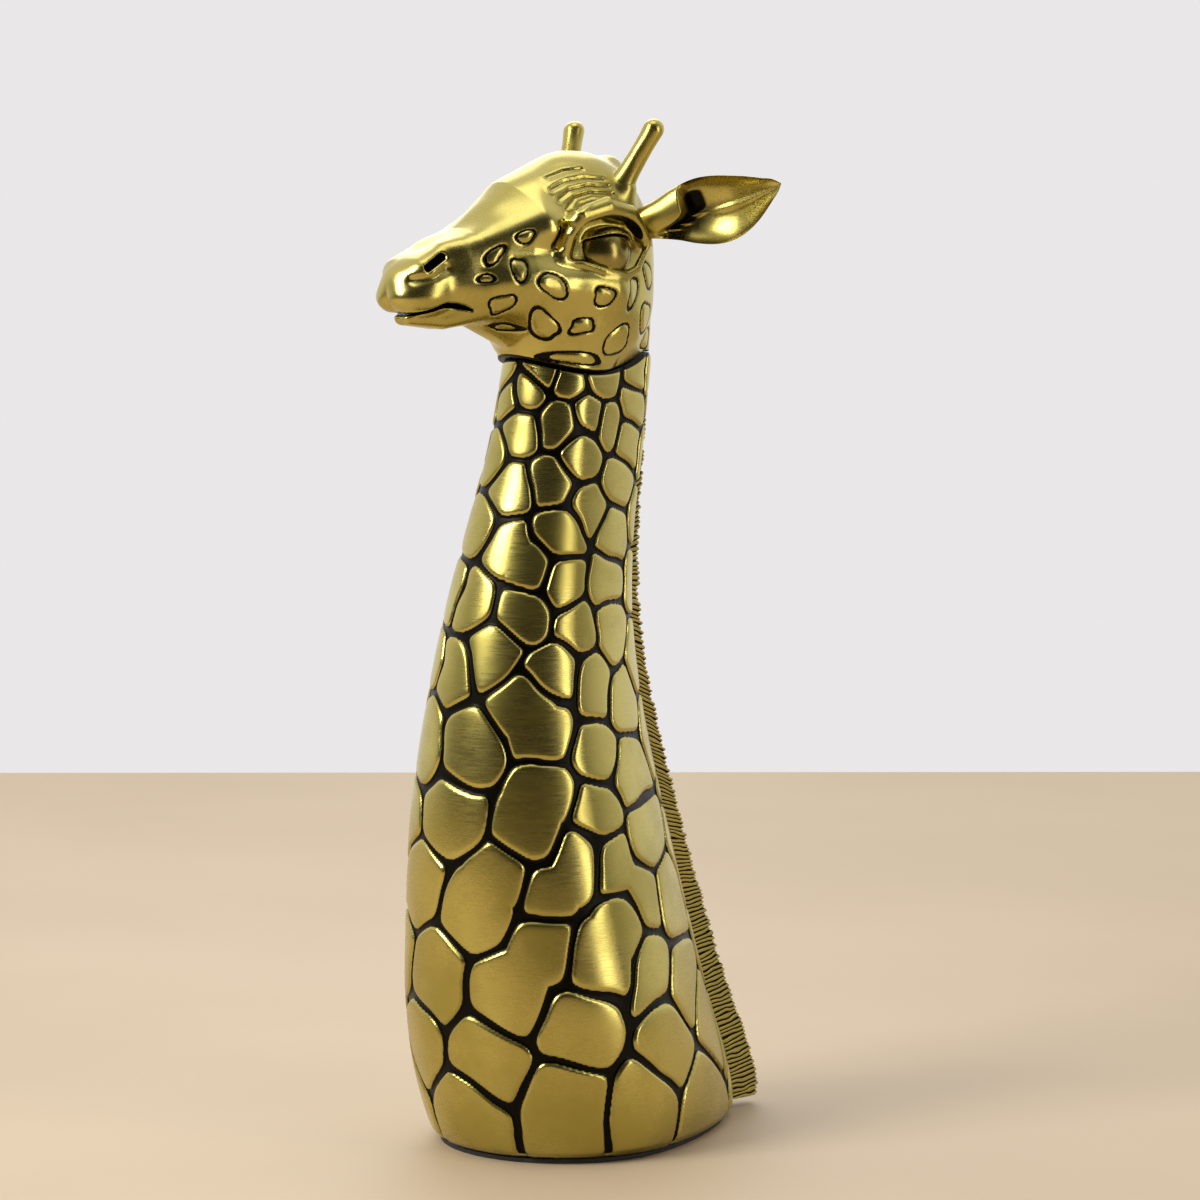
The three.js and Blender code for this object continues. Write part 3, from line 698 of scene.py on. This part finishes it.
def surface_nets(field, origin, step):
    """Vertices and quads of the zero surface of a grid of distances."""
    inside = field < 0
    nx, ny, nz = field.shape
    corners = [(i, j, k) for i in (0, 1) for j in (0, 1) for k in (0, 1)]

    def part(a, c):
        return a[c[0] : nx - 1 + c[0], c[1] : ny - 1 + c[1], c[2] : nz - 1 + c[2]]

    count = sum(part(inside, c).astype(np.int8) for c in corners)
    active = (count > 0) & (count < 8)
    cells = np.argwhere(active)
    index = np.full(active.shape, -1, np.int64)
    index[active] = np.arange(len(cells))
    values = {c: field[cells[:, 0] + c[0], cells[:, 1] + c[1], cells[:, 2] + c[2]] for c in corners}
    total = np.zeros((len(cells), 3))
    hits = np.zeros(len(cells))
    for a in corners:
        for axis in range(3):
            if a[axis]:
                continue
            b = tuple(v + (1 if i == axis else 0) for i, v in enumerate(a))
            va, vb = values[a], values[b]
            cross = (va < 0) != (vb < 0)
            t = np.where(cross, va / np.where(cross, va - vb, 1), 0)
            point = np.array(a, float)[None, :] + t[:, None] * (np.array(b) - np.array(a))[None, :]
            total += point * cross[:, None]
            hits += cross
    verts = origin + (cells + total / hits[:, None]) * step
    faces = []
    for axis in range(3):
        others = [i for i in range(3) if i != axis]
        if axis == 1:
            others = others[::-1]
        lo = [slice(1, n - 1) for n in field.shape]
        lo[axis] = slice(0, field.shape[axis] - 1)
        hi = list(lo)
        hi[axis] = slice(1, field.shape[axis])
        a, b = inside[tuple(lo)], inside[tuple(hi)]
        for flip, mask in ((False, a & ~b), (True, ~a & b)):
            at = np.argwhere(mask)
            at += [0 if i == axis else 1 for i in range(3)]
            quad = []
            for du, dv in ((0, 0), (-1, 0), (-1, -1), (0, -1)):
                c = at.copy()
                c[:, others[0]] += du
                c[:, others[1]] += dv
                quad.append(index[c[:, 0], c[:, 1], c[:, 2]])
            quad = np.stack(quad, -1)
            faces.append(quad[:, ::-1] if flip else quad)
    return verts, np.concatenate(faces)


# Spots on the side of the face: how far back and how high, half length, half height, tilt in degrees
# (positive rises towards the back) and how square they are.
SPOTS = [
    (-35, 43, 3.1, 2.1, 15, 2.0),
    (-45.5, 37, 4.0, 1.9, 38, 2.4),
    (-49, 29.5, 2.4, 1.4, 5, 2.0),
    (-38.5, 32.3, 2.6, 4.0, -14, 2.2),
    (-43, 21, 3.7, 3.0, 24, 3.0),
    (-27, 27, 6.0, 3.4, -24, 2.3),
    (-27, 14.5, 6.8, 2.9, -40, 2.4),
    (-8, 23.3, 3.8, 3.0, -8, 2.8),
    (-14.3, 13.6, 4.0, 2.4, 4, 4.0),
    (1.4, 8.5, 5.7, 4.7, 14, 2.8),
    (6.4, 24.5, 2.6, 5.6, -18, 2.4),
    (-36, 13.2, 4.0, 1.1, -8, 2.0),
    (-14, 3.0, 8.5, 2.0, -5, 2.4),
    (15.5, 16, 3.6, 5.0, -10, 2.6),
    (17.5, 30, 3.2, 4.4, 12, 2.4),
    (22, 8.5, 3.0, 3.4, 0, 2.4),
    (21.5, 44, 2.8, 3.6, 10, 2.2),
]


def spot_field(p):
    """Distance inside the nearest spot's outline, in millimetres, for points of the head."""
    best = np.full(len(p), -9.0)
    for i, (y, z, a, b, tilt, square) in enumerate(SPOTS):
        c, s = math.cos(math.radians(tilt)), math.sin(math.radians(tilt))
        dy = p[:, 1] - y
        dz = p[:, 2] - z
        u = (c * dy + s * dz) / a
        v = (-s * dy + c * dz) / b
        around = np.arctan2(v, u)
        wave = 1 + 0.09 * np.sin(3 * around + i * 1.9) + 0.06 * np.sin(2 * around + i * 0.7)
        r = (np.abs(u) ** square + np.abs(v) ** square) ** (1 / square) / wave
        best = np.maximum(best, (1 - r) * min(a, b))
    return np.where(np.abs(p[:, 0]) > 6, best, -9.0)


# The grid the head is worked out on: its step, low corner and size.
HEAD_STEP = 0.5
HEAD_LOW = np.array([-30.25, -81.0, -5.0])
HEAD_SIZE = np.array([60.5, 118.0, 80.0])
SPOT_LINE = 0.42  # depth and width of the line round a spot


def build_head():
    count = (HEAD_SIZE / HEAD_STEP).astype(int) + 1
    xs, ys, zs = (HEAD_LOW[i] + HEAD_STEP * np.arange(count[i]) for i in range(3))
    half = xs[len(xs) // 2 :]
    grid = np.stack(np.meshgrid(half, ys, zs, indexing="ij"), -1)
    field = np.concatenate([head_distance(grid[i : i + 10]) for i in range(0, len(half), 10)])
    field = np.concatenate([field[::-1][: len(xs) - len(half)], field])
    verts, faces = surface_nets(field, HEAD_LOW, HEAD_STEP)
    # Settle the points on the surface itself.
    h = 0.15
    for _ in range(3):
        d = head_distance(verts)
        slope = [head_distance(verts + h * axis) - head_distance(verts - h * axis) for axis in np.eye(3)]
        g = np.stack(slope, -1) / (2 * h)
        length = np.maximum(np.linalg.norm(g, axis=1), 0.3)
        normal = g / length[:, None]
        verts = verts - normal * np.clip(d / length, -0.3, 0.3)[:, None]
    spot = spot_field(verts)
    line = bell(spot, SPOT_LINE)
    dome = 0.3 * smoothstep(0.3, 1.6, spot)
    verts = verts + normal * (dome - SPOT_LINE * line)[:, None]
    verts = verts + normal * (0.05 * noise(verts, 6.0, 4))[:, None]
    dark = np.maximum(smoothstep(0.3, 0.7, line), head_recess(verts))
    verts = verts + (0, 0, HEAD_BASE)
    obj = make_mesh("head_casting", verts, faces, {"dark": dark})
    return finish_piece(obj, HEAD_BRASS, ["head_shell", "head_crest"])


def head_recess(p):
    """Patina in the socket, nostril, mouth, creases and the joint, with painted shade added in the socket, from
    0 to 1.
    """
    q = np.stack([np.abs(p[:, 0]), p[:, 1], p[:, 2]], -1)
    inside = smoothstep(-0.2, -0.7, head_mass(q))
    line = curve(MOUTH_LINE, q[:, 1])
    mouth = smoothstep(1.6, 0.7, np.abs(q[:, 2] - line)) * smoothstep(-50, -52.5, q[:, 1]) * inside
    nostril = smoothstep(1.7, 1.0, strip(q, NOSTRIL)) * inside * (q[:, 0] > 4)
    r = np.linalg.norm(q - EYE_CENTRE, axis=1)
    hole = smoothstep(2.0, 1.2, ball(q, *SOCKET))
    from_lid = np.abs(q[:, 2] - upper_lid_edge(q[:, 1]) - LID_HALF)
    lids = smoothstep(1.9, 1.3, np.abs(r - EYE_RADIUS - 0.4)) * smoothstep(1.7, 1.2, from_lid)
    ledge = smoothstep(1.4, 0.7, rods(q, LOWER_LID))
    # The socket walls that the lids leave bare are darkened: patina, with painted shade under the brow.
    socket_patina_and_shade = hole * inside * (1 - lids) * (1 - ledge)
    crease = 0.0
    for points in CREASES:
        crease = np.maximum(crease, 0.55 * bell(strip(q, points), 0.45))
    crease = crease * smoothstep(8, 14, q[:, 0])
    fold = 0.7 * bell(strip(q, PIT), 0.9) * smoothstep(8, 14, q[:, 0])
    fold = np.maximum(fold, 0.5 * bell(strip(q, NOSTRIL_FOLD), 0.8) * smoothstep(5, 8, q[:, 0]))
    joint = smoothstep(0.9, 0.3, q[:, 2] - joint_height(q[:, 1]))
    return np.maximum.reduce([mouth, nostril, socket_patina_and_shade, crease, fold, joint])


# ---- Eyes, horns, ears ----


def build_eye(name, side):
    rows, columns = 96, 128
    a = np.linspace(0.001, math.pi - 0.001, rows)[:, None]
    b = np.linspace(0, 2 * math.pi, columns, endpoint=False)[None, :]
    out = np.stack([np.cos(a) + 0 * b, np.sin(a) * np.cos(b), np.sin(a) * np.sin(b)], -1)
    # A faint step round the iris, and patina with painted shade where the ball meets the lids and at its
    # corners.
    p = out * (EYE_RADIUS + 0.12 * smoothstep(0.62, 0.56, a)[..., None]) + EYE_CENTRE
    top = smoothstep(1.7, 0.3, upper_lid_edge(p[..., 1]) - p[..., 2])
    low = smoothstep(1.5, 0.2, p[..., 2] - lower_lid_edge(p[..., 1]))
    ends = smoothstep(8.2, 9.8, np.abs(p[..., 1] + 4.7))
    dark = np.maximum.reduce([top, low, ends])
    return add_head_part("eyeball", name, side, p, dark, EYE_BRASS, "eye")


HORN_LENGTH = 26.5
HORN_SEAT = (13.6, 8.0, 58.5)


def build_horn(name, side):
    """A rod that flares where it leaves the skull, with a rounded end."""
    rows, columns = 120, 64
    t = np.linspace(0, 1, rows)[:, None]
    b = np.linspace(0, 2 * math.pi, columns, endpoint=False)[None, :]
    body = 3.3 + (2.6 * np.exp(-t * 7.5) + 0.3 * smoothstep(0.6, 0.95, t))
    r = body * np.sqrt(np.clip(1 - np.clip((t - 0.86) / 0.14, 0, 1) ** 2, 0, 1))
    zero = 0 * t + 0 * b
    p = np.stack([r * np.cos(b), r * np.sin(b), t * HORN_LENGTH + zero], -1)
    p = p + 0.12 * np.stack([noise(p, 5.0, 21), noise(p, 5.0, 22), zero], -1)
    p = p + np.stack([0.5 * np.sin(t * 2.6) + zero, 1.2 * t * t + zero, zero], -1)
    turn = np.array(Matrix.Rotation(0.36, 3, "Y") @ Matrix.Rotation(-0.34, 3, "X"))
    dark = 0.35 * bell(t - 0.16, 0.05) + zero
    return add_head_part("horn_rod", name, side, p @ turn.T + HORN_SEAT, dark, HORN_BRASS, "horn")


EAR_LENGTH = 50.5
EAR_SEAT = (17.0, 15.0, 47.0)
# How far the ear reaches above and below its middle line, and back from it, by share of its length.
EAR_UPPER = ((0, 5.2), (0.1, 6.2), (0.25, 8.2), (0.45, 9.6), (0.7, 6.9), (0.88, 3.7), (0.97, 1.8), (1, 0.4))
EAR_LOWER = (
    (0, 5.2), (0.1, 6.4), (0.22, 8.6), (0.33, 11.2), (0.47, 13.4),
    (0.6, 13.4), (0.8, 9.2), (0.92, 4.6), (0.98, 1.8), (1, 0.4),
)
EAR_DEPTH = ((0, 4.6), (0.3, 6.8), (0.5, 7.6), (0.75, 4.6), (1, 0.7))
# Ribs where the ear opens: place across it, width and height.
EAR_RIBS = ((0.18, 0.06, 1.3), (0.42, 0.05, 1.0), (0.6, 0.04, 0.8))


def build_ear(name, side):
    """A leaf rolled into a cone at its root, its hollow facing forwards, with a fold and ribs where it
    opens."""
    rows, across = 200, 240
    t = np.linspace(0, 1, rows)[:, None]
    a = np.linspace(0, 2 * math.pi, across, endpoint=False)[None, :]
    u = np.cos(a)
    front = np.sin(a) < 0
    arch = np.sqrt(np.clip(1 - u * u, 0, 1))
    back = curve(EAR_DEPTH, t) * arch**1.3
    wall = (1.7 - 0.9 * t) * arch**0.35
    # The front closes the cone near the root, and opens first along the lower edge.
    start = 0.3 - 0.22 * smoothstep(-0.05, 0.75, u)
    opened = smoothstep(0.0, 0.06, t - start)
    closed = -4.4 * arch * (1 - 0.4 * t)
    ridge = bell(t - start - 0.09, 0.05) * opened
    ribs = ridge * sum(height * bell(u - at, width) for at, width, height in EAR_RIBS)
    midrib = 0.5 * bell(u - 0.2, 0.08) * smoothstep(0.4, 0.6, t) * smoothstep(1.0, 0.7, t)
    cup = back - wall - ribs - midrib
    through = np.where(front, closed + (cup - closed) * opened, back)
    curl = 2.2 * smoothstep(0.6, 1.0, t)
    z = EAR_LENGTH * t + 0 * through
    p = np.stack([u * np.where(u > 0, curve(EAR_LOWER, t), curve(EAR_UPPER, t)), through - curl, z], -1)
    p = p + 0.15 * noise(p, 7.0, 31)[..., None]
    inside = np.where(front, opened, 0) * smoothstep(0.97, 0.8, np.abs(u))
    deep = smoothstep(0.17, 0.06, t - start) * smoothstep(0.75, 0.45, np.abs(u))
    dark = np.clip(inside * (0.95 * deep - 0.6 * ribs + 0.22), 0, 1)
    sweep = Matrix.Rotation(0.58, 3, "Z") @ Matrix.Rotation(math.pi / 2 - 0.27, 3, "Y")
    sweep = np.array(sweep @ Matrix.Rotation(0.1, 3, "Z"))
    return add_head_part("ear_leaf", name, side, p @ sweep.T + EAR_SEAT, dark, EAR_BRASS, "ear")


# ---- Build ----

build_neck()
build_mane()
build_head()
for side_name, side_sign in SIDES.items():
    build_eye(side_name, side_sign)
    build_horn(side_name, side_sign)
    build_ear(side_name, side_sign)

# CAD nodes that no piece replaces are carried over: they only need a material. The rest are pins and screws.
REPLACED = ("neck_shell", "mane_strip", "head_shell", "head_crest")
REPLACED += tuple(f"{part}_{side_name}" for part in ("eye", "horn", "ear") for side_name in SIDES)
CARRIED_OVER = {"base_plate": SHEET, "felt_pad": FELT}
for node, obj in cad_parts.items():
    if node in REPLACED:
        continue
    obj.data.materials.clear()
    obj.data.materials.append(CARRIED_OVER.get(node, STEEL))


# ---- Stage, light and camera ----


VIEW_AZIMUTH = 52.0  # degrees from the front towards the statue's left
VIEW_DISTANCE = 1.344
VIEW_HEIGHT = 0.31
VIEW_TARGET = (0.0085, 0.183)  # how far right of the statue's middle, and how high
TABLE_REACH = 6.0
TABLE_EDGE = 0.9  # how far behind the statue the table ends
# Name, azimuth and elevation in degrees, distance, size, power and colour.
LIGHTS = [
    ("key", -6, 36, 1.6, (0.6, 0.9), 20, (1.0, 0.98, 0.94)),
    ("side", 112, 12, 1.6, (0.35, 1.2), 5, (1.0, 0.96, 0.9)),
    ("back", 235, 35, 1.6, (1.0, 1.2), 6, (0.97, 0.98, 1.0)),
    ("top", 60, 85, 1.5, (0.8, 0.8), 3, (1.0, 1.0, 1.0)),
]


def stage_floor():
    """A pale table top, square to the view."""
    mesh = bpy.data.meshes.new("floor")
    turn = Matrix.Rotation(math.radians(VIEW_AZIMUTH), 3, "Z")
    near, far, wide = -TABLE_REACH, TABLE_EDGE, TABLE_REACH
    plan = ((-wide, near, 0), (wide, near, 0), (wide, far, 0), (-wide, far, 0))
    corners = [turn @ Vector(corner) for corner in plan]
    mesh.from_pydata(corners, [], [(0, 1, 2, 3)])
    floor = bpy.data.objects.new("floor", mesh)
    bpy.context.scene.collection.objects.link(floor)
    m = Nodes("floor_pale")
    m.set("Base Color", m.mix(m.ramp(m.noise(3, 3), 0.3, 0.7), (0.54, 0.42, 0.28), (0.58, 0.455, 0.31)))
    m.set("Roughness", 0.6)
    mesh.materials.append(m.material)


def area_light(name, azimuth, elevation, distance, size, power, colour):
    light = bpy.data.lights.new(name, "AREA")
    light.shape = "RECTANGLE"
    light.size, light.size_y = size
    light.energy = power
    light.color = colour
    obj = bpy.data.objects.new(name, light)
    a, e = math.radians(azimuth), math.radians(elevation)
    away = Vector((math.sin(a) * math.cos(e), -math.cos(a) * math.cos(e), math.sin(e)))
    obj.location = Vector((0, 0, 0.2)) + away * distance
    obj.rotation_euler = away.to_track_quat("Z", "Y").to_euler()
    bpy.context.scene.collection.objects.link(obj)


def set_world():
    """Bright behind the statue and overhead, dim on the side it is seen from, so that the metal has something
    dark to reflect. The backdrop itself is one pale tone."""
    world = bpy.data.worlds.new("studio")
    world.use_nodes = True
    tree = world.node_tree
    light = tree.nodes["Background"]
    coord = tree.nodes.new("ShaderNodeTexCoord")
    dot = tree.nodes.new("ShaderNodeVectorMath")
    dot.operation = "DOT_PRODUCT"
    dot.inputs[1].default_value = (-0.72, 0.56, 0.4)
    ramp = tree.nodes.new("ShaderNodeMapRange")
    ramp.interpolation_type = "SMOOTHSTEP"
    ramp.inputs["From Min"].default_value = -0.35
    ramp.inputs["From Max"].default_value = 0.6
    ramp.inputs["To Min"].default_value = 0.03
    ramp.inputs["To Max"].default_value = 0.9
    tree.links.new(coord.outputs["Generated"], dot.inputs[0])
    tree.links.new(dot.outputs["Value"], ramp.inputs["Value"])
    tree.links.new(ramp.outputs["Result"], light.inputs["Strength"])
    light.inputs["Color"].default_value = (1.0, 0.98, 0.95, 1)
    backdrop = tree.nodes.new("ShaderNodeBackground")
    backdrop.inputs["Color"].default_value = (0.82, 0.8, 0.81, 1)
    path = tree.nodes.new("ShaderNodeLightPath")
    mix = tree.nodes.new("ShaderNodeMixShader")
    tree.links.new(path.outputs["Is Camera Ray"], mix.inputs[0])
    tree.links.new(light.outputs[0], mix.inputs[1])
    tree.links.new(backdrop.outputs[0], mix.inputs[2])
    tree.links.new(mix.outputs[0], tree.nodes["World Output"].inputs["Surface"])
    bpy.context.scene.world = world


def set_camera():
    camera = bpy.data.cameras.new("camera")
    camera.sensor_width = 36.0
    camera.lens = 120.0
    obj = bpy.data.objects.new("camera", camera)
    bpy.context.scene.collection.objects.link(obj)
    azimuth = math.radians(VIEW_AZIMUTH)
    obj.location = (math.sin(azimuth) * VIEW_DISTANCE, -math.cos(azimuth) * VIEW_DISTANCE, VIEW_HEIGHT)
    right = Vector((math.cos(azimuth), math.sin(azimuth), 0))
    target = right * VIEW_TARGET[0] + Vector((0, 0, VIEW_TARGET[1]))
    obj.rotation_euler = (obj.location - target).to_track_quat("Z", "Y").to_euler()
    bpy.context.scene.camera = obj


stage_floor()
set_world()
for light_row in LIGHTS:
    area_light(*light_row)
set_camera()
bpy.context.scene.view_settings.view_transform = "Standard"
